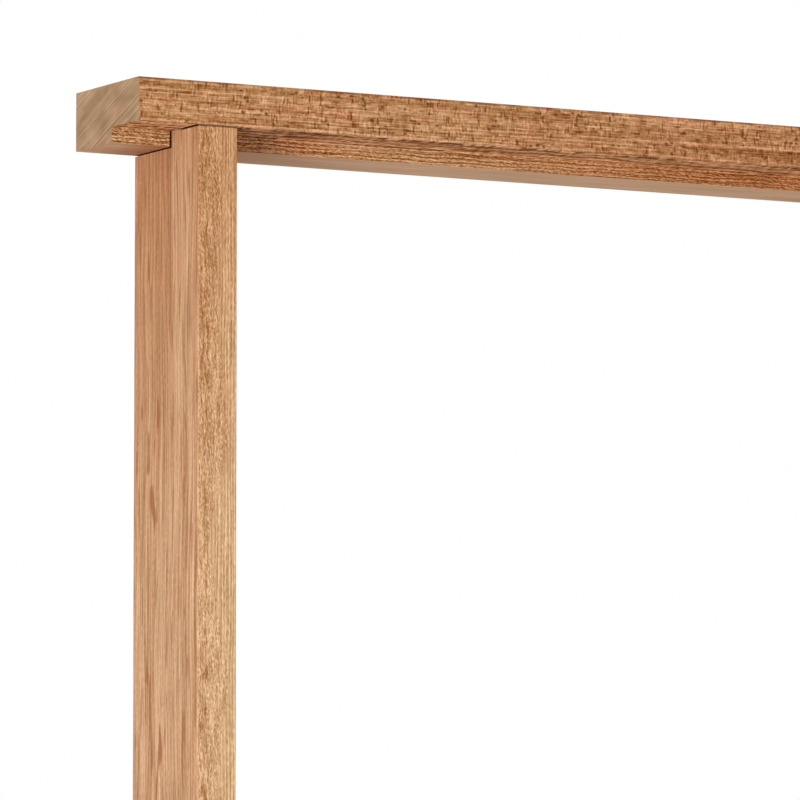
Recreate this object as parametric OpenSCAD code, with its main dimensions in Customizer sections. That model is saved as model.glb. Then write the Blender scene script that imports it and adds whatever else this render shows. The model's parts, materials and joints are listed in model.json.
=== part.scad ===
// Rebated door frame for a single leaf, in solid hardwood.
// One section makes all three members. The head runs past both jambs as horns, and each jamb
// stands on a wedged through tenon, with one shoulder scribed up into the head's rebate.
// Front is -Y, where the leaf closes. The origin is on the floor, midway between the jambs
// and midway through the frame's depth.

/* [Door leaf] */
// Width of the leaf
leaf_w = 838; // [526:1:1200]
// Height of the leaf
leaf_h = 1981; // [1800:1:2400]
// Thickness of the leaf
leaf_t = 44; // [35:1:54]

/* [Gaps round the leaf] */
// Gap between the leaf and the rebate, at each side and at the top
edge_gap = 3; // [2:0.5:5]
// Gap between the leaf and the floor
floor_gap = 8; // [3:1:20]
// How much deeper the rebate is than the leaf is thick
face_gap = 2; // [0:0.5:4]

/* [Section] */
// Depth of the frame, from its front to its back
frame_d = 107; // [95:1:160]
// Thickness of a member in front of the stop, where the rebate is cut
lip_t = 33; // [28:1:60]
// Depth of the rebate, which is how far the stop laps over the leaf
rebate_d = 12; // [8:1:20]
// Radius of the eased arrises
arris_r = 1; // [0.5:0.25:2]

/* [Horns] */
// Length of the head beyond each jamb
horn_l = 50; // [25:1:120]

/* [Shoulders] */
// Gap between the scribed front shoulder and the face of the head's stop
scribe_gap = 1.4; // [0.2:0.1:2]
// Gap above the back shoulder, so that the front shoulder closes first
back_gap = 0.9; // [0.2:0.1:1.5]

/* [Tenons] */
// Thickness of a tenon, from its front cheek to its back cheek
tenon_t = 30; // [16:1:36]
// Width of the shoulder in front of a tenon, from the stop's face
tenon_set = 15; // [8:1:20]
// Width of the shoulder at each edge of a tenon, which hides the mortise's mouth
edge_set = 5; // [2:0.5:8]
// Clearance between a tenon's cheek and the mortise wall
cheek_gap = 0.2; // [0.1:0.05:0.4]

/* [Wedges] */
// Length of a wedge
wedge_l = 30; // [20:1:34]
// Thickness of a wedge at its thin end
wedge_tip = 1; // [0.5:0.25:2]
// How much a wedge thickens for each millimetre of its length
wedge_slope = 0.14; // [0.08:0.01:0.2]

/* [Hidden] */

$fn = 48;

// How far a cutting shape runs past the face that it opens
past = 1;

// Section, from front to back and from the wall side to the leaf side
rebate_w = leaf_t + face_gap;
full_t = lip_t + rebate_d;
stop_d = frame_d - rebate_w;
front_y = -frame_d / 2;
stop_face_y = front_y + rebate_w;

// Heights above the floor
rebate_soffit_z = floor_gap + leaf_h + edge_gap;
stop_soffit_z = rebate_soffit_z - rebate_d;
head_top_z = rebate_soffit_z + lip_t;
back_shoulder_z = stop_soffit_z - back_gap;

// Widths, measured from the middle of the doorway
rebate_x = leaf_w / 2 + edge_gap;
outer_x = rebate_x + lip_t;
inner_x = outer_x - full_t;
horn_x = outer_x + horn_l;

// Tenons and wedges. The sloped end of a mortise runs on below its wedge, down to the tenon's
// edge or out of the head's underside, whichever comes first
tenon_y = stop_face_y + tenon_set;
tenon_w = full_t - 2 * edge_set;
tenon_inner_x = inner_x + edge_set;
tenon_outer_x = outer_x - edge_set;
wedge_butt = wedge_tip + wedge_l * wedge_slope;
room_l = min(wedge_butt / wedge_slope, full_t + past);

// A rectangle with its corners eased
module eased_rectangle(size, r) {
    translate([r, 0]) square([size.x - 2 * r, size.y]);
    translate([0, r]) square([size.x, size.y - 2 * r]);
    for (x = [r, size.x - r], y = [r, size.y - r])
        translate([x, y]) circle(r);
}

// The rebated section: x runs from the front to the back, y from the wall side to the leaf side
module rebated_section() {
    eased_rectangle([frame_d, lip_t], arris_r);
    translate([rebate_w, 0]) eased_rectangle([stop_d, full_t], arris_r);
}

// The side view of a wedge, or of the room for it, with its straight edge on x = 0 and its
// butt at y = 0; it reaches from top down to bottom at the wedge's slope
module wedge_profile(top, bottom) {
    polygon([
        [0, bottom],
        [wedge_butt + bottom * wedge_slope, bottom],
        [wedge_butt + top * wedge_slope, top],
        [0, top]
    ]);
}

// A length of that profile as wide as the tenon is thick, and as much wider as asked
module wedge_block(top, bottom, gap) {
    translate([0, tenon_y + tenon_t + gap, head_top_z])
        rotate([90, 0, 0])
            linear_extrude(tenon_t + 2 * gap)
                wedge_profile(top, bottom);
}

// The through mortise on the right, flared at both ends towards the head's top
module mortise() {
    translate([tenon_inner_x, tenon_y - cheek_gap, stop_soffit_z - past])
        cube([tenon_w, tenon_t + 2 * cheek_gap, full_t + 2 * past]);
    translate([tenon_outer_x, 0, 0]) wedge_block(past, -room_l, cheek_gap);
    translate([tenon_inner_x, 0, 0])
        mirror([1, 0, 0]) wedge_block(past, -room_l, cheek_gap);
}

module head() {
    color([0.80, 0.60, 0.42])
        difference() {
            translate([horn_x, front_y, head_top_z])
                rotate([-90, 0, 90])
                    linear_extrude(2 * horn_x)
                        rebated_section();
            mortise();
            mirror([1, 0, 0]) mortise();
        }
}

// The jamb on the right: a post of the section, scribed round the head's stop, and its tenon.
// Its front shoulder bears on the rebate's soffit
module jamb() {
    difference() {
        translate([outer_x, front_y, 0])
            rotate([0, 0, 90])
                linear_extrude(rebate_soffit_z)
                    rebated_section();
        translate([inner_x - past, stop_face_y - scribe_gap, back_shoulder_z])
            cube([full_t + 2 * past, stop_d + scribe_gap + past, rebate_d + back_gap + past]);
    }
    translate([tenon_inner_x, tenon_y, back_shoulder_z])
        cube([tenon_w, tenon_t, full_t + back_gap]);
}

module right_jamb() {
    color([0.77, 0.59, 0.44]) jamb();
}

module left_jamb() {
    color([0.77, 0.59, 0.44]) mirror([1, 0, 0]) jamb();
}

// A wedge driven down beside the tenon and cut off flush with the head's top
module wedge() {
    color([0.72, 0.53, 0.37]) wedge_block(0, -wedge_l, 0);
}

module wedge_right_outer() {
    translate([tenon_outer_x, 0, 0]) wedge();
}

module wedge_right_inner() {
    translate([tenon_inner_x, 0, 0]) mirror([1, 0, 0]) wedge();
}

module wedge_left_outer() {
    mirror([1, 0, 0]) wedge_right_outer();
}

module wedge_left_inner() {
    mirror([1, 0, 0]) wedge_right_inner();
}

head();
left_jamb();
right_jamb();
wedge_left_outer();
wedge_left_inner();
wedge_right_inner();
wedge_right_outer();
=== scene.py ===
# %% [markdown]
# A rebated door frame in solid hardwood, dressed for a studio picture.
#
# The joiner's work is already done when this lesson starts. The frame arrives as packed solids:
# a head with a horn at each end, two jambs scribed up into the head's rebate, and the wedges that
# lock the tenons. Nothing here moves or resizes them. What is left is what a finisher would see:
# timber with a direction, a different figure on each face, sawn ends, and a plain bright studio.

# %% Load the frame
import json
import math

import bpy
import bmesh
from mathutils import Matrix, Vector


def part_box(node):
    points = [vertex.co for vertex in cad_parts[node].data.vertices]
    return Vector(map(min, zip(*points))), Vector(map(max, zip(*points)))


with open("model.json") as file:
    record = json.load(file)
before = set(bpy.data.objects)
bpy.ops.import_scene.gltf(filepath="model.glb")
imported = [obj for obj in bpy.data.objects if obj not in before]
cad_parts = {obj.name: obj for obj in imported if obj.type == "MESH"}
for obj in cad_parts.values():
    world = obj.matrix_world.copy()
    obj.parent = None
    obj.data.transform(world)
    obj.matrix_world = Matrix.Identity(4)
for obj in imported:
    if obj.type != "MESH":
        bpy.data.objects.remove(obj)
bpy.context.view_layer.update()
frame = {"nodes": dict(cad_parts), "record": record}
print("frame nodes:", ", ".join(sorted(frame["nodes"])))

# %% [markdown]
# The camera comes first, because it decides how much detail each surface needs. The picture was
# taken from about five metres with a long lens, a little below the head and well to its left, so
# the lines of the frame hardly converge. An orthographic camera would be simpler, but a lens
# keeps the little convergence there is, and standing low shows the underside of the head.

# %% Camera
LENS_MM = 299.2
SENSOR_MM = 36
YAW = math.radians(28.89)
PITCH = math.radians(5.37)
FAR_LIMIT = 60
# From the head's left, front, top corner to the camera, in metres
CAMERA_FROM_CORNER = Vector((-2.2118, -4.4123, -0.7072))

head_low, head_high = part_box("head")
corner = Vector((head_low.x, head_low.y, head_high.z))
camera = bpy.data.objects.new("camera", bpy.data.cameras.new("camera"))
bpy.context.scene.collection.objects.link(camera)
camera.data.sensor_width = SENSOR_MM
camera.data.lens = LENS_MM
camera.data.clip_end = FAR_LIMIT
camera.location = corner + CAMERA_FROM_CORNER
camera.rotation_euler = (math.pi / 2 + PITCH, 0, -YAW)
bpy.context.scene.camera = camera
print("camera height, m:", round(camera.location.z, 3))

# %% [markdown]
# The timber changes its figure from face to face, so the materials need to know where the faces
# are. The faces could be given materials of their own, but the solids stay as they are, so each
# figure is held to its face by where it lies. The frame's own record says where that is: the
# leaf's place in the rebate ends at the stop's face and at the rebate's soffit, and the doorway
# ends at the stop's underside. Those boxes keep a millimetre clear of the wood.

# %% Levels of the section, in millimetres
CLEAR = 1.0

openings = {space["name"]: space["box_m"] for space in frame["record"]["physics"]["openings"]}
leaf_end = openings["leaf_rebate"][1]
rebate_x = 1000 * leaf_end[0] + CLEAR
stop_y = 1000 * leaf_end[1] + CLEAR
soffit_z = 1000 * leaf_end[2] + CLEAR
stop_z = 1000 * openings["doorway"][1][2] + CLEAR
front_y = 1000 * head_low.y
top_z = 1000 * head_high.z
post_low, post_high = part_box("left_jamb")
jamb_inner = -1000 * post_high.x
jamb_outer = -1000 * post_low.x
print("front and stop's face, mm:", round(front_y, 1), round(stop_y, 1))
print("stop's underside, soffit and top, mm:", round(stop_z), round(soffit_z), round(top_z))
print("jamb from the middle, mm:", round(jamb_inner), round(rebate_x), round(jamb_outer))

# %% [markdown]
# Grain is too fine for geometry and too irregular for a repeated picture, so it is worked out
# from the place of each point. Such sums could be wired by hand in the shader editor. Here one
# small class wraps a socket and lets Python's own operators add the Math nodes, because a recipe
# of plain sums can be read and changed line by line.


# %% Sums on sockets
class Wire:
    """A socket that holds a number, for sums that turn into Math nodes."""

    def __init__(self, board, socket):
        self.board = board
        self.socket = socket

    def _sum(self, operation, *values):
        return self.board.node("ShaderNodeMath", {"operation": operation}, values)

    def __add__(self, other):
        return self._sum("ADD", self, other)

    def __radd__(self, other):
        return self._sum("ADD", other, self)

    def __sub__(self, other):
        return self._sum("SUBTRACT", self, other)

    def __rsub__(self, other):
        return self._sum("SUBTRACT", other, self)

    def __mul__(self, other):
        return self._sum("MULTIPLY", self, other)

    def __rmul__(self, other):
        return self._sum("MULTIPLY", other, self)

    def __truediv__(self, other):
        return self._sum("DIVIDE", self, other)

    def __abs__(self):
        return self._sum("ABSOLUTE", self)

    def sine(self):
        return self._sum("SINE", self)

    def least(self, other):
        return self._sum("MINIMUM", self, other)

    def most(self, other):
        return self._sum("MAXIMUM", self, other)

    def rise(self, low, high):
        """0 below low, 1 above high, and a smooth rise between them."""
        settings = {"interpolation_type": "SMOOTHSTEP"}
        return self.board.node("ShaderNodeMapRange", settings, (self, low, high, 0.0, 1.0))

    def fall(self, low, high):
        """1 below low, 0 above high, and a smooth fall between them."""
        return 1.0 - self.rise(low, high)

    def within(self, low, high, edge):
        """1 between low and high, and 0 outside, with a smooth edge on the inside."""
        return self.rise(low, low + edge) * self.fall(high - edge, high)


print("a wire can:", ", ".join(name for name in vars(Wire) if not name.startswith("_")))

# %% [markdown]
# Every finish needs a board to lay its nodes on. One method adds any node: its settings first,
# because some of them change which sockets there are, then the values and links of its sockets.
# Two more answer what a joiner asks of a spot on the wood: where it is, and which way it faces.
# Both are read in the object's own axes, which the frame shares, so nothing slides when a view or
# a light changes.

# %% Nodes on a board
FACING_FROM = 0.6
FACING_TO = 0.8


class Board:
    """The node tree of one material or world."""

    def __init__(self, owner):
        self.owner = owner
        owner.use_nodes = True
        self.tree = owner.node_tree
        self.tree.nodes.clear()

    def node(self, kind, settings=None, values=(), output=0):
        """Adds a node: settings first, then its inputs, by place or by name. Returns one output."""
        made = self.tree.nodes.new(kind)
        for key, value in (settings or {}).items():
            if key == "stops":
                self._lay_stops(made.color_ramp, value)
            else:
                setattr(made, key, value)
        pairs = values.items() if isinstance(values, dict) else enumerate(values)
        for place, value in pairs:
            socket = made.inputs[place]
            if isinstance(value, Wire):
                self.tree.links.new(value.socket, socket)
            else:
                socket.default_value = value
        return Wire(self, made.outputs[output]) if len(made.outputs) else made

    @staticmethod
    def _lay_stops(ramp, stops):
        while len(ramp.elements) < len(stops):
            ramp.elements.new(1.0)
        for element, (place, colour) in zip(ramp.elements, stops):
            element.position = place
            element.color = colour

    def part(self, vector, axis):
        """One of the three numbers of a vector."""
        return self.node("ShaderNodeSeparateXYZ", None, (vector,), output=axis)

    def place(self):
        """Where a point is on the frame, in millimetres."""
        spot = self.node("ShaderNodeTexCoord", output="Object")
        return [self.part(spot, axis) * 1000.0 for axis in range(3)]

    def facing(self, axis):
        """How far a face looks along an axis, from 0 to 1, whichever side of the wood it is on."""
        normal = self.node("ShaderNodeTexCoord", output="Normal")
        return abs(self.part(normal, axis)).rise(FACING_FROM, FACING_TO)

    def tell(self, what):
        """Prints how many nodes are laid so far."""
        print(f"{what}: {len(self.tree.nodes)} nodes on {self.owner.name}")


print("a board can:", ", ".join(name for name in vars(Board) if not name.startswith("_")))

# %% [markdown]
# The colours of the wood are read off a picture, where they are written as a screen shows them.
# Shaders work in linear light. The numbers could be turned by hand, but a short function keeps
# them as they were read, so that they can be compared with the picture again.


# %% Colours as they are seen
def rgb(*levels):
    """A colour as a picture editor shows it, 0 to 255, in the linear light that shaders use."""
    linear = []
    for level in levels:
        share = min(max(level, 0), 255) / 255
        linear.append(share / 12.92 if share <= 0.04045 else ((share + 0.055) / 1.055) ** 2.4)
    return (*linear, 1.0)


print("a mid brown in linear light:", [round(level, 3) for level in rgb(180, 129, 90)])

# %% [markdown]
# Timber is a bundle of long tubes, so every pattern in it is long one way and narrow the other
# two. Blender's Wave texture draws rings, but they are too even for a real board. Noise that is
# stretched by a different amount along each axis gives threads, dashes or rays, as its size says.
# It swings evenly to both sides of zero, so that a sum of grains keeps the wood's own colour.

# %% Grain
GRAIN_GAIN = 8.0


def grain(here, size, detail=0.0):
    """Smooth noise, mostly from -2 to 2, stretched to a size in millimetres along each axis."""
    board = here[0].board
    shares = [part / side for part, side in zip(here, size)]
    point = board.node("ShaderNodeCombineXYZ", None, shares)
    values = {"Vector": point, "Scale": 1.0, "Detail": detail}
    noise = board.node("ShaderNodeTexNoise", {"noise_dimensions": "3D"}, values)
    return (noise - 0.5) * GRAIN_GAIN


print("grain swings each way by about:", GRAIN_GAIN / 4)

# %% [markdown]
# Rays and pores are separate marks, not swells: a ray shows as a short upright tick with square
# ends, and a pore as a dot. They could be scattered as points, but a Voronoi texture already holds
# one mark to a cell. Its Chebychev distance draws squares, and stretched cells make them ticks.

# %% Specks
FULL_SHARE = 0.6


def specks(here, cell, reach, metric="CHEBYCHEV"):
    """One speck to a cell: 1 around its middle, and 0 from reach on, in shares of the cell."""
    board = here[0].board
    shares = [part / side for part, side in zip(here, cell)]
    point = board.node("ShaderNodeCombineXYZ", None, shares)
    settings = {"feature": "F1", "distance": metric}
    away = board.node("ShaderNodeTexVoronoi", settings, {"Vector": point, "Scale": 1.0})
    return away.fall(reach * FULL_SHARE, reach)


print("share of its reach over which a speck is full:", FULL_SHARE)

# %% [markdown]
# A figure is a tone, and the timber's colour follows it: lighter where it rises, darker where it
# sinks. A Math node would turn a colour grey, so a ramp holds the shades, three steps each way,
# and a Mix node lays one colour over another by a share.

# %% Shades and blends
TONE_REACH = 3


def shades(tone, colour, spread):
    """A colour, and the same lighter and darker: one step of tone moves it by spread."""
    stops = []
    for step in range(-TONE_REACH, TONE_REACH + 1):
        share = (step + TONE_REACH) / (2 * TONE_REACH)
        stops.append((share, rgb(*(level + step * spread for level in colour))))
    share = tone / (2 * TONE_REACH) + 0.5
    return tone.board.node("ShaderNodeValToRGB", {"stops": stops}, (share,))


def blend(share, first, second):
    """Mixes two colours by a share from 0 to 1."""
    values = {0: share, 6: first, 7: second}
    return share.board.node("ShaderNodeMix", {"data_type": "RGBA"}, values, output=2)


print("steps of tone each way:", TONE_REACH)

# %% [markdown]
# The head is one length of the section, laid flat. Its faces are cut from one board but look
# different: the front is nearly radial, the rebate was cut deeper into the board, the underside
# and the top lie nearly along the rings, and the ends are sawn across. The masks below hold each
# figure to its face. A mask by place and facing follows the solid exactly, whatever its mesh.

# %% Head: its faces
SKIN = 3.0

head = Board(bpy.data.materials.new("head_timber"))
x, y, z = here = head.place()
on_end = head.facing(0)
on_flat = head.facing(2)
in_rebate = y.within(front_y + 1.0, stop_y + 2.0, 1.0) * z.fall(soffit_z + 1.0, soffit_z + 2.0)
under = on_flat * z.fall(stop_z + SKIN, stop_z + 2 * SKIN)
over = on_flat * z.rise(top_z - SKIN, top_z - SKIN + 1.0)
cloud = grain(here, (60, 25, 12), detail=1.0)
head.tell("masks")

# %% [markdown]
# The front of the head looks woven. Its growth rings run almost level across it, so level threads
# of pores are crossed by short upright flecks, where the saw ran along a ray. A picture of cloth
# would repeat and blur. Instead each kind of mark is a grain or a speck of its own, with the size
# that a rule reads on the photograph: along the head, through it, and up its face. The number
# after each is how far it moves the tone.

# %% Head: the woven figure of the front
THREAD = (150, 8, 1.3)
DASH = (9, 5, 1.2)
SPOT = (1.5, 4, 1.4)
BLOCK = (9, 20, 6)
BLOCK_CROWD = (14, 20, 9)
RUNG = (1.5, 5, 4.5)
RUNG_CROWD = (6, 20, 9)
TICK = (2.7, 20, 11)
BAR = (12, 20, 3.2)
BAR_CROWD = (24, 20, 4)
BLOT = (11, 20, 11)
LIP_HIGHLIGHT = 3.5

crowd = grain(here, RUNG_CROWD).rise(-0.2, 0.9)
crossed = grain(here, BAR_CROWD).rise(-0.2, 0.9)
blocks = specks(here, BLOCK, 0.40) * grain(here, BLOCK_CROWD)
fine = grain(here, DASH) * 0.45 + grain(here, SPOT) * 0.3 + blocks * 0.6
fine = fine + grain(here, RUNG) * (crowd * 0.45 + 0.15)
dark = specks(here, TICK, 0.30) * crowd * 2.4 + specks(here, BAR, 0.30) * crossed * 1.9
dark = dark + specks(here, BLOT, 0.22) * 0.9
# Painted highlight along the front's lower arris: its lowest few millimetres are lighter, and dark
# marks fade there.
highlit_lip = z.within(soffit_z - 1.0, soffit_z + LIP_HIGHLIGHT, 1.0) * 0.45
weave = grain(here, THREAD) * 0.6 + fine - dark * (1.0 - highlit_lip) + highlit_lip + 0.5
head.tell("woven figure")

# %% [markdown]
# The head's front isn't one brown. It turns redder away from the corner, with pinkish and
# yellowish patches a thumb long, dark pores that lie in rows, and a browner top arris. A single
# ramp would give one hue in many shades, so several are laid over each other, each by its own
# slow grain.

# %% Head: the colours of the front
WEAVE_TAN = (183, 131, 86)
WEAVE_RED = (179, 120, 76)
WEAVE_PINK = (186, 122, 82)
WEAVE_YELLOW = (184, 133, 84)
PORE_BROWN = rgb(98, 46, 14)
ARRIS_BROWN = rgb(140, 82, 58)
RED_FROM = -260.0
RED_TO = 80.0

redder_side = x.rise(RED_FROM, RED_TO)
redness = redder_side.most(cloud.rise(0.0, 1.6) * 0.9)
weave_tone = weave + cloud * 0.2
front_colour = blend(redness, shades(weave_tone, WEAVE_TAN, 20), shades(weave_tone, WEAVE_RED, 20))
pinkish = grain(here, (22, 20, 7)).rise(0.2, 1.4)
front_colour = blend(pinkish * 0.5, front_colour, shades(weave, WEAVE_PINK, 20))
yellowish = grain(here, (34, 25, 8)).rise(0.3, 1.4)
front_colour = blend(yellowish * 0.4, front_colour, shades(weave, WEAVE_YELLOW, 19))
rows = (z * 0.8 + grain(here, (60, 20, 20)) * 0.8).sine().rise(-0.6, 0.4)
dots = specks(here, (6, 20, 5), 0.36, "EUCLIDEAN") * grain(here, (16, 20, 9)).rise(-0.4, 0.6)
front_colour = blend(dots * rows * 0.75, front_colour, PORE_BROWN)
at_arris = z.rise(top_z - 2.2, top_z - 0.8) * y.fall(front_y + 2.0, front_y + 5.0)
browned = grain(here, (14, 8, 9)).rise(-1.0, 1.0) * at_arris
front_colour = blend(browned * 0.7, front_colour, ARRIS_BROWN)
head.tell("colours of the front")

# %% [markdown]
# The rebate was cut deeper into the same board, where the grain is interlocked. Its stop shows
# level rows three millimetres apart, broken by slanting strokes. The rows could be modelled as
# ridges, but a planed face has none: they are colour with a little depth, so a sine gives their
# rhythm, and grains with a slant break them up. Near the jamb the marks stand out more.

# %% Head: the wavy figure of the rebate
ROW_APART = 3.0
ROW_BEND = (40, 4, 60)
LINE = (120, 0.8, 60)
STROKE = (3.4, 0.9, 50)
FINE_STROKE = (1.5, 0.9, 40)
STRONG_TO = 45.0
STRONG_FADE = 130.0

drop = z + y * 0.17 + grain(here, (25, 40, 9)) * 0.25
dropped = (x, drop, y)
wave_rows = (drop * (2 * math.pi / ROW_APART) + grain(dropped, ROW_BEND) * 0.6).sine()
strokes = grain((x + drop * 3.0, drop, y), STROKE)
fine_strokes = grain((x + drop * 1.5, drop, y), FINE_STROKE)
wave = wave_rows + grain(dropped, LINE) * 0.8 + strokes * 0.75 + fine_strokes * 0.7
near_jamb = abs(abs(x) - jamb_outer).fall(STRONG_TO, STRONG_FADE)
wave = wave * (near_jamb * 0.35 + 1.0)
head.tell("wavy figure")

# %% [markdown]
# The rebate's colours follow the front's, redder to the right. Its soffit is warmer and a little
# darker all along. Beside the jamb the stop's face takes that warmer, darker colour too, and the
# soffit turns darker still: this is painted shade, the jamb's shadow laid on as colour. A softbox
# placed to suit could shade that corner, but colour on the wood holds from every side. Along the
# soffit's front edge, dark brown dashes broken by grain are painted shade behind the arris.

# %% Head: the colours of the rebate
WAVE_TAN = (196, 146, 100)
WAVE_RED = (191, 128, 79)
WAVE_WARM_AND_SHADE = (186, 128, 82)
SOFFIT_SHADE_BROWN = (154, 99, 56)
EDGE_SHADE_BROWN = rgb(98, 44, 14)
JAMB_SHADOW_REACH = 110.0
JAMB_SHADOW_FADE = 45.0

wave_tone = wave + cloud * 0.2
rebate_colour = blend(redder_side, shades(wave_tone, WAVE_TAN, 22), shades(wave_tone, WAVE_RED, 22))
# Painted shade: the jamb's shadow darkens the stop's face and, more, the soffit beside the jamb.
jamb_shadow_share = abs(x).within(jamb_inner - JAMB_SHADOW_REACH, jamb_outer, JAMB_SHADOW_FADE)
rebate_colour = blend(jamb_shadow_share.most(on_flat * 0.8), rebate_colour, shades(wave, WAVE_WARM_AND_SHADE, 23))
rebate_colour = blend(jamb_shadow_share * on_flat, rebate_colour, shades(wave, SOFFIT_SHADE_BROWN, 25))
# Painted shade in dashes along the soffit's front edge, just behind the arris.
edge_shade_dashes = grain(here, (5, 30, 9)).rise(-0.2, 0.6) * grain(here, (40, 60, 9)).rise(-1.2, 0.2)
edge_shade_dashes = edge_shade_dashes * y.fall(front_y + 9.0, front_y + 12.0)
rebate_colour = blend(edge_shade_dashes * 0.9, rebate_colour, EDGE_SHADE_BROWN)
head.tell("colours of the rebate")

# %% [markdown]
# On the sawn ends of the head the growth rings themselves are seen: pale, nearly straight lines
# that lean by a quarter of a right angle, on a ground that is part grey and part pink. Rings are
# cylinders round the tree's heart, but the heart is far off the board, so two turned axes do: one
# across the rings and one along them.

# %% Head: the sawn ends
RING_TILT = math.radians(21.7)
RING = (200, 1.1, 150)
PALE_RING = (200, 2.4, 110)
SAW_MARK = (2, 9, 18)
END_GREY = (167, 136, 104)
END_PINK = (173, 131, 104)

wander = grain(here, (90, 40, 40)) * 0.25
over_rings = y * math.sin(RING_TILT) + z * math.cos(RING_TILT) + wander
along_rings = z * math.sin(RING_TILT) - y * math.cos(RING_TILT)
in_tree = (x, over_rings, along_rings)
pale_rings = grain(in_tree, PALE_RING).rise(0.7, 1.5)
end_tone = grain(in_tree, RING) * 0.6 + pale_rings * 1.2 - 0.35
end_tone = end_tone + grain(in_tree, SAW_MARK, detail=1.0) * 0.7
pink = grain(in_tree, (9, 12, 16)).rise(0.2, 1.8) + z.fall(stop_z, stop_z + 10.0)
end_colour = blend(pink.least(1.0) * 0.6, shades(end_tone, END_GREY, 9), shades(end_tone, END_PINK, 9))
head.tell("sawn ends")

# %% [markdown]
# The underside and the top were planed nearly along the rings, so they are smooth and almost
# plain, and the underside is paler and greyer than the front. A single flat colour would look
# like plastic, so one wide grain keeps a hint of the board's length. By the jambs the underside
# is darker and browner, and a little duller for two hand's widths more: painted shade, with a
# redder hue there.

# %% Head: the planed underside and top
PLANED = (90, 5, 5)
UNDER_GREY = (206, 166, 132)
UNDER_SHADE_BROWN = (163, 109, 75)
TOP_TAN = (192, 146, 106)
SHADE_BY_JAMB_TO = 60.0
DULL_SHADE_TO = 260.0

flat_tone = grain(here, PLANED, detail=1.0) + cloud * 0.5
from_jamb = abs(abs(x) - jamb_outer)
# Painted shade by the jambs: the underside turns darker and browner, and a little duller further out.
shade_by_jambs = from_jamb.fall(0.0, SHADE_BY_JAMB_TO).most(from_jamb.fall(0.0, DULL_SHADE_TO) * 0.3)
under_colour = blend(shade_by_jambs * 0.9, shades(flat_tone, UNDER_GREY, 5), shades(flat_tone, UNDER_SHADE_BROWN, 7))
top_colour = shades(flat_tone, TOP_TAN, 8)
head.tell("planed faces")

# %% [markdown]
# Where a jamb closes against the head, the joint shows as a thin dark line. Its gap is in the
# solids, but light that leaks through a gap makes it grey, so the wood that faces the gap is
# painted a dark brown. The mask runs a hair past the jamb and no further.

# %% Head: the joint lines
JOINT_BROWN = rgb(56, 24, 8)
PAST_JAMB = 1.6
LINE_FADE = 1.2

under_jamb = abs(x).within(jamb_inner, jamb_outer + PAST_JAMB, LINE_FADE) * under
over_jamb = abs(x).within(rebate_x, jamb_outer + PAST_JAMB, LINE_FADE) * in_rebate
covered = under_jamb.most(over_jamb) * (1.0 - on_end)
head.tell("joint lines")

# %% [markdown]
# A planed, unfinished surface is rough, hardly shines, and has a slight relief where soft wood
# wears down between hard. True relief would need millions of faces, so a Bump node turns the
# same tone into depth. All the timber here ends in one function, so that the pieces shine alike.

# %% A planed surface
SHEEN = 0.04
BUMP_STRENGTH = 0.5
GLOSS_BY_TONE = 0.02


def timber(colour, tone, roughness, depth):
    """A planed wooden surface: its colour, its sheen, and a depth in millimetres by its tone."""
    board = tone.board
    bump = {"Strength": BUMP_STRENGTH, "Distance": depth / 1000, "Height": tone}
    values = {
        "Base Color": colour,
        "Roughness": roughness - tone * GLOSS_BY_TONE,
        "Normal": board.node("ShaderNodeBump", None, bump),
        "Specular IOR Level": SHEEN,
    }
    shader = board.node("ShaderNodeBsdfPrincipled", None, values)
    board.node("ShaderNodeOutputMaterial", None, {"Surface": shader})
    board.tell("finished timber")
    return board.owner


print("sheen of bare timber:", SHEEN)

# %% [markdown]
# Now the head is put together: the front's figure all over, the rebate's where it was cut, the
# planed faces, the joint lines, and the sawn ends last. A material of its own for each face would
# leave hard seams at the eased arrises, and a blend runs round them.

# %% Head: the whole board
HEAD_ROUGHNESS = 0.66
HEAD_DEPTH = 0.15

colour = blend(in_rebate, front_colour, rebate_colour)
colour = blend(under, colour, under_colour)
colour = blend(over * 0.8, colour, top_colour)
colour = blend(covered, colour, JOINT_BROWN)
colour = blend(on_end, colour, end_colour)
height = (weave + (wave - weave) * in_rebate) * (1.0 - under.most(over)) * (1.0 - on_end)
head_timber = timber(colour, height, HEAD_ROUGHNESS, HEAD_DEPTH)

# %% [markdown]
# The jambs are the same timber cut the other way. Their wide outer face is calm: straight lines as
# long as a forearm, which drift a little. Parallel lines alone look printed, so their place across
# the face is nudged by a slow grain. Both jambs read this recipe, and each reads it at its own
# height, so that the right one doesn't repeat the left.

# %% Jamb: the figure of the side
SWAY = (40, 30, 110)
SWAY_MM = 1.2
BAND = (9, 9, 260)
SIDE_LINE = (2.4, 2.2, 110)
SIDE_THREAD = (1.0, 1.15, 60)
SIDE_FLECK = (1.2, 1.2, 4)


def side_figure(x, y, run):
    """The place with its sway, the broad bands, the fine threads, and the tone of them all."""
    swayed = (x, y + grain((x, y, run), SWAY) * SWAY_MM, run)
    bands = grain(swayed, BAND, detail=1.0)
    threads = grain(swayed, SIDE_THREAD)
    flecks = grain((x, y, run), SIDE_FLECK)
    tone = bands * 0.55 + grain(swayed, SIDE_LINE) * 0.7 + threads * 0.75 + flecks * 0.45
    return swayed, bands, threads, tone


print("lines on the side drift each way by about, mm:", 2 * SWAY_MM)

# %% [markdown]
# The jamb's narrow front shows the rays end on: it is dimpled next to the outer arris, and towards
# the leaf it runs in clean straight reeds, nearly four to a centimetre. Two materials would meet
# in a ruled line. Here the two tones are mixed by a mask whose edge wanders.

# %% Jamb: the figure of the front
LEAN = 0.05
DIMPLE = (0.75, 4, 2.2)
CORD = (1.1, 4, 24)
REED_APART = 2.6
REED_BEND = (6, 4, 60)
REED_THREAD = (0.8, 4, 30)
REED_FLECK = (0.8, 4, 3.5)
DIMPLED_TO = 16.0
REEDS_FROM = 24.0


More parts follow.
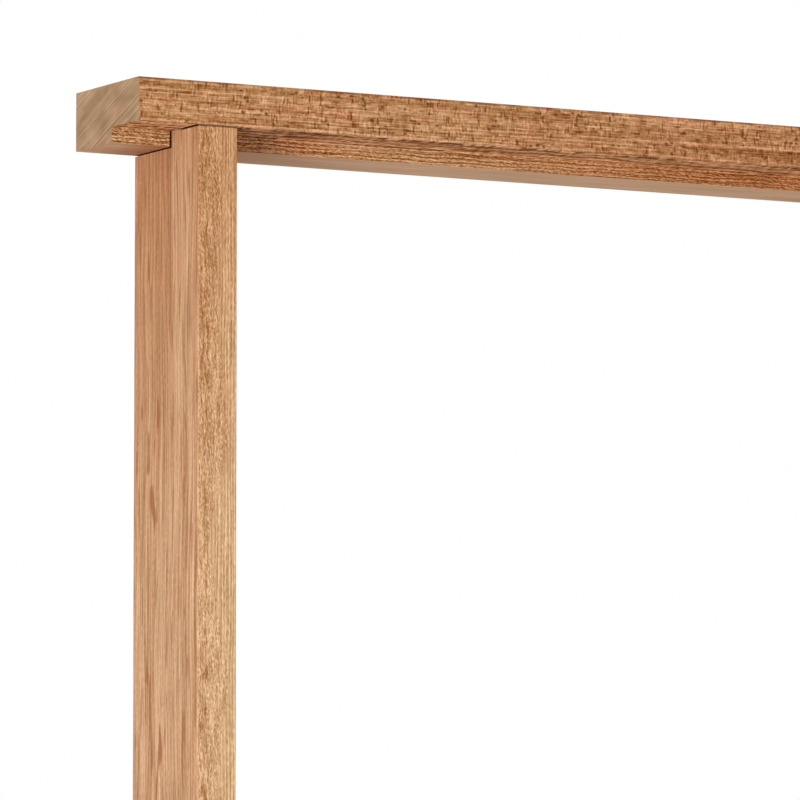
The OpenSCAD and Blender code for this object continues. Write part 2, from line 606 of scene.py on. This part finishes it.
def front_figure(spot):
    """The tone of the jamb's front, and how far it is dimpled."""
    x, y, run = spot
    leaning = (x + run * LEAN + grain(spot, (8, 8, 9)) * 0.4, y, run)
    dimpled = grain(leaning, DIMPLE) * 0.9 + grain(leaning, CORD) * 0.7
    reeds = (x * (2 * math.pi / REED_APART) + grain(spot, REED_BEND) * 0.8).sine() * 1.2
    reeds = reeds + grain(spot, REED_THREAD) * 0.6 + grain(spot, REED_FLECK) * 0.6
    wandering = abs(x) + grain(spot, (60, 60, 90)) * 4.0
    dimpling = wandering.rise(jamb_outer - REEDS_FROM, jamb_outer - DIMPLED_TO)
    return reeds + (dimpled - reeds) * dimpling, dimpling


print("reeds on the front are apart by, mm:", REED_APART)

# %% [markdown]
# The side is tan with paler bands, and rosy at its edges. Towards the head it turns a little
# darker and browner, and rosier behind the stop's face: painted shade under the head, with some
# real browning. Streaks and pores are thin and dark, so they are laid last, over the slow changes.
# A fine line runs down from the joint at the stop's face, like a gauge mark, and fades out.
# Stains like these could be painted by hand, but a recipe does both jambs at once.

# %% Jamb: the colours of the side
SIDE_TAN = (197, 153, 116)
SIDE_SHADED_NEAR_HEAD = (194, 146, 108)
SIDE_PALE = (212, 173, 132)
SIDE_ROSY = (184, 129, 90)
STREAK_RED = rgb(178, 114, 76)
SIDE_PORE = rgb(140, 90, 56)
PALE_BAND = (20, 6, 190)
BLUSH = (20, 16, 160)
STREAK = (14, 4.5, 26)
STREAK_CROWD = (14, 14, 90)
PORE = (14, 2.4, 38)


def side_colours(spot, swayed, z, tone, head_shade_and_tint):
    """The colour of the jamb's outer and inner sides."""
    y = spot[1]
    colour = blend(head_shade_and_tint, shades(tone, SIDE_TAN, 10), shades(tone, SIDE_SHADED_NEAR_HEAD, 10))
    pale_bands = grain(swayed, PALE_BAND).rise(0.2, 1.8)
    colour = blend(pale_bands * 0.6, colour, shades(tone, SIDE_PALE, 9))
    blush = grain(spot, BLUSH, detail=1.0).rise(0.3, 2.0) * 0.5
    rosy_shade_behind = y.rise(stop_y - 1.0, stop_y + 1.0) * head_shade_and_tint * 0.8
    edges = abs(y).rise(-front_y - 7.0, -front_y - 3.0) * 0.6
    colour = blend(blush.most(rosy_shade_behind).most(edges), colour, shades(tone, SIDE_ROSY, 10))
    streak = grain(swayed, STREAK)
    crowd = grain(swayed, STREAK_CROWD).rise(-0.4, 0.8)
    colour = blend(streak.rise(0.8, 1.9) * crowd * 0.6, colour, STREAK_RED)
    cores = streak.rise(1.5, 2.2) * crowd * 0.55
    pores = grain(swayed, PORE).rise(1.0, 1.8) * 0.5
    gauge_mark = abs(y - stop_y).fall(0.4, 1.2) * z.rise(stop_z - 220.0, stop_z - 60.0) * 0.6
    return blend(pores.most(gauge_mark).most(cores), colour, SIDE_PORE)


print("length of a streak on the side, mm:", STREAK[2])

# %% [markdown]
# The front is lighter than the side and more yellow where the reeds are. Towards the head it is
# darker, browner and less yellow: painted shade under the head, with some real browning. A
# finger's width from the outer arris the dimples draw together into a reddish braid. The same
# ramps as before would do, and only the colours and the masks are new.

# %% Jamb: the colours of the front
FRONT_TAN = (216, 171, 128)
FRONT_SHADED_NEAR_HEAD = (201, 147, 102)
FRONT_YELLOW = (216, 177, 131)
FRONT_BROWN = (176, 116, 74)
BRAID = (2.6, 9, 13)
BRAID_CROWD = (20, 20, 60)
BRAID_FROM = 1.0
BRAID_TO = 10.0


def front_colours(spot, tone, dimpling, head_shade_and_tint):
    """The colour of the jamb's front."""
    colour = blend(head_shade_and_tint, shades(tone, FRONT_TAN, 14), shades(tone, FRONT_SHADED_NEAR_HEAD, 15))
    yellow = (1.0 - dimpling) * (1.0 - head_shade_and_tint * 0.8) * 0.6
    colour = blend(yellow, colour, shades(tone, FRONT_YELLOW, 14))
    braid = grain(spot, BRAID).rise(-0.3, 1.2)
    braid = braid * abs(spot[0]).within(jamb_outer - BRAID_TO, jamb_outer - BRAID_FROM, 2.0)
    braid = braid * (grain(spot, BRAID_CROWD).rise(-1.0, 1.0) * 0.6 + 0.4)
    return blend(braid * 0.8, colour, shades(tone, FRONT_BROWN, 14))


print("width of the braid, mm:", BRAID_TO - BRAID_FROM)

# %% [markdown]
# A jamb meets the head in three places: its back shoulder under the stop, its front shoulder in
# the rebate, and the upright cut between them, which is scribed to the stop's face. As on the
# head, the wood inside the joints is dark brown, so that each joint is a line and not a grey slot.


# %% Jamb: the joint lines
def in_joint(y, z, on_front, on_end):
    """1 on the shoulders and the scribed cut, and a hair round them."""
    scribed = on_front * y.within(stop_y - 4.0, stop_y, 0.3) * z.rise(stop_z - 0.5, stop_z)
    shoulders = on_end * z.within(stop_z - 5.0, soffit_z + 5.0, 1.0)
    top_edge = z.within(soffit_z - 1.5, soffit_z + 5.0, 0.5) * (1.0 - on_front * 0.3)
    top_edge = top_edge * y.fall(stop_y - 22.5, stop_y - 10.5)
    return scribed.most(shoulders).most(top_edge)


print("shoulders at, mm:", round(stop_z), "and", round(soffit_z))

# %% [markdown]
# Now a jamb is put together. One material on both jambs would give them the same streaks at the
# same height, which no two boards have, so each gets a material of its own from the same recipe,
# and only the height at which it is read differs.

# %% Jamb: the whole board
JAMB_ROUGHNESS = 0.62
JAMB_DEPTH = 0.12
JAMB_END = (168, 134, 102)
RIGHT_JAMB_SHIFT = 3170.0


def jamb_timber(name, shift):
    board = Board(bpy.data.materials.new(name))
    x, y, z = board.place()
    on_front = board.facing(1)
    on_end = board.facing(2)
    spot = (x, y, z + shift)
    # Painted shade under the head, with some browning: each jamb's top grows darker, browner and less
    # contrasted.
    head_shade_and_tint = z.rise(stop_z - 380.0, stop_z + 10.0)
    swayed, bands, threads, side_tone = side_figure(*spot)
    side_tone = side_tone * (1.0 - head_shade_and_tint * 0.3)
    front_tone, dimpling = front_figure(spot)
    front_tone = front_tone + bands * 0.3
    colour = side_colours(spot, swayed, z, side_tone, head_shade_and_tint)
    colour = blend(on_front, colour, front_colours(spot, front_tone, dimpling, head_shade_and_tint))
    colour = blend(on_end, colour, shades(bands + threads * 0.5, JAMB_END, 8))
    colour = blend(in_joint(y, z, on_front, on_end), colour, JOINT_BROWN)
    tone = side_tone + (front_tone - side_tone) * on_front
    return timber(colour, tone, JAMB_ROUGHNESS, JAMB_DEPTH)


left_timber = jamb_timber("left_jamb_timber", 0.0)
right_timber = jamb_timber("right_jamb_timber", RIGHT_JAMB_SHIFT)

# %% [markdown]
# Wedges are split from an offcut, so their grain runs up and down, and only their sawn butts show,
# level with the top of the head. The head's own recipe would hide them there. A greyer colour
# tells them from the board, as end grain does on a real joint.

# %% Wedge timber
WEDGE_RING = (1.2, 6, 60)
WEDGE_FLECK = (0.6, 0.6, 3)
WEDGE_GREY = (163, 126, 92)
WEDGE_ROUGHNESS = 0.72
WEDGE_DEPTH = 0.1

wedge = Board(bpy.data.materials.new("wedge_timber"))
in_wedge = wedge.place()
wedge_tone = grain(in_wedge, WEDGE_RING, detail=1.0) * 0.8 + grain(in_wedge, WEDGE_FLECK) * 0.5
wedge_colour = shades(wedge_tone, WEDGE_GREY, 12)
wedge_timber = timber(wedge_colour, wedge_tone, WEDGE_ROUGHNESS, WEDGE_DEPTH)


# %% [markdown]
# Each solid came with a plain material in its slots. Only the slot is changed: the mesh stays as
# it was packed, because its triangles are the part's own.


# %% Dress the frame
def dress(node, material):
    """Puts a material on a node's slots, and leaves its mesh alone."""
    for slot in frame["nodes"][node].material_slots:
        slot.material = material
    print(node, "wears", material.name)


dress("head", head_timber)
dress("left_jamb", left_timber)
dress("right_jamb", right_timber)
for side in ("left", "right"):
    for edge in ("outer", "inner"):
        dress(f"wedge_{side}_{edge}", wedge_timber)

# %% [markdown]
# The photograph's ground is pure white and its light is soft. A room with walls could give both,
# but a bright world fills every side at once. It lights the wood at a plain level, so that a
# colour renders about as it is written, and only the camera and the gloss see it as full white.

# %% World
FILL = 0.62

world = bpy.data.worlds.new("studio")
bpy.context.scene.world = world
sky = Board(world)
to_camera = sky.node("ShaderNodeLightPath", output="Is Camera Ray")
to_gloss = sky.node("ShaderNodeLightPath", output="Is Glossy Ray")
strength = FILL + to_camera.most(to_gloss) * (1.0 - FILL)
glow = sky.node("ShaderNodeBackground", None, {"Color": (1, 1, 1, 1), "Strength": strength})
sky.node("ShaderNodeOutputWorld", None, {"Surface": glow})
print("world fill:", FILL)

# %% [markdown]
# More light comes from the left and from lower than the head, so the rebate is lit, all but a
# hand's width beside the jamb. A sun would cut a hard shadow there. One square softbox at chest
# height keeps it soft.

# %% Softbox
KEY_WATTS = 66.0
KEY_SIDE = 1.0
KEY_DISTANCE = 3.2
KEY_AZIMUTH = math.radians(53)
KEY_HEIGHT = 1.25

key = bpy.data.objects.new("key", bpy.data.lights.new("key", "AREA"))
bpy.context.scene.collection.objects.link(key)
key.data.shape = "SQUARE"
key.data.size = KEY_SIDE
key.data.energy = KEY_WATTS
key.visible_camera = False
aside = Vector((-math.sin(KEY_AZIMUTH), -math.cos(KEY_AZIMUTH), 0)) * KEY_DISTANCE
key.location = Vector((corner.x + aside.x, corner.y + aside.y, KEY_HEIGHT))
key.rotation_euler = (key.location - corner).to_track_quat("Z", "Y").to_euler()
print("softbox at, m:", [round(value, 2) for value in key.location])

# %% [markdown]
# The floor is one wide plain sheet. A real studio sweeps it up into a wall, but a wall would stand
# in the way of the other views. Instead, for the camera alone, the sheet is mixed with an even
# white glow: partly beside the frame, where it still takes a soft shadow, and wholly far off, so
# that it runs into the white world without a horizon.

# %% Floor finish
FLOOR_PALE = (0.86, 0.86, 0.86, 1)
NEAR_MM = 2500.0
FAR_MM = 7000.0
NEAR_GLOW = 0.6

ground = Board(bpy.data.materials.new("floor_finish"))
ground_x, ground_y = ground.place()[:2]
far = (ground_x * ground_x + ground_y * ground_y).rise(NEAR_MM**2, FAR_MM**2)
glowing = far * (1.0 - NEAR_GLOW) + NEAR_GLOW
seen = ground.node("ShaderNodeLightPath", output="Is Camera Ray")
matt = ground.node("ShaderNodeBsdfDiffuse", None, {"Color": FLOOR_PALE})
white = ground.node("ShaderNodeEmission", None, {"Color": (1, 1, 1, 1), "Strength": 1.0})
mixed = ground.node("ShaderNodeMixShader", None, (glowing * seen, matt, white))
ground.node("ShaderNodeOutputMaterial", None, {"Surface": mixed})
ground.tell("floor")

# %% [markdown] The sheet itself is a grid of one square, which is all that a flat floor needs.

# %% Floor
FLOOR_SIDE = 200.0

shape = bmesh.new()
bmesh.ops.create_grid(shape, x_segments=1, y_segments=1, size=FLOOR_SIDE / 2)
mesh = bpy.data.meshes.new("floor")
shape.to_mesh(mesh)
shape.free()
mesh.materials.append(ground.owner)
floor = bpy.data.objects.new("floor", mesh)
bpy.context.scene.collection.objects.link(floor)
print("floor, m:", FLOOR_SIDE, "square, faces:", len(mesh.polygons))

# %% [markdown]
# Last, the picture's colours are shown as they are, because a filmic curve would pale the wood and
# grey the ground.

# %% Colours as they are
bpy.context.scene.view_settings.view_transform = "Standard"
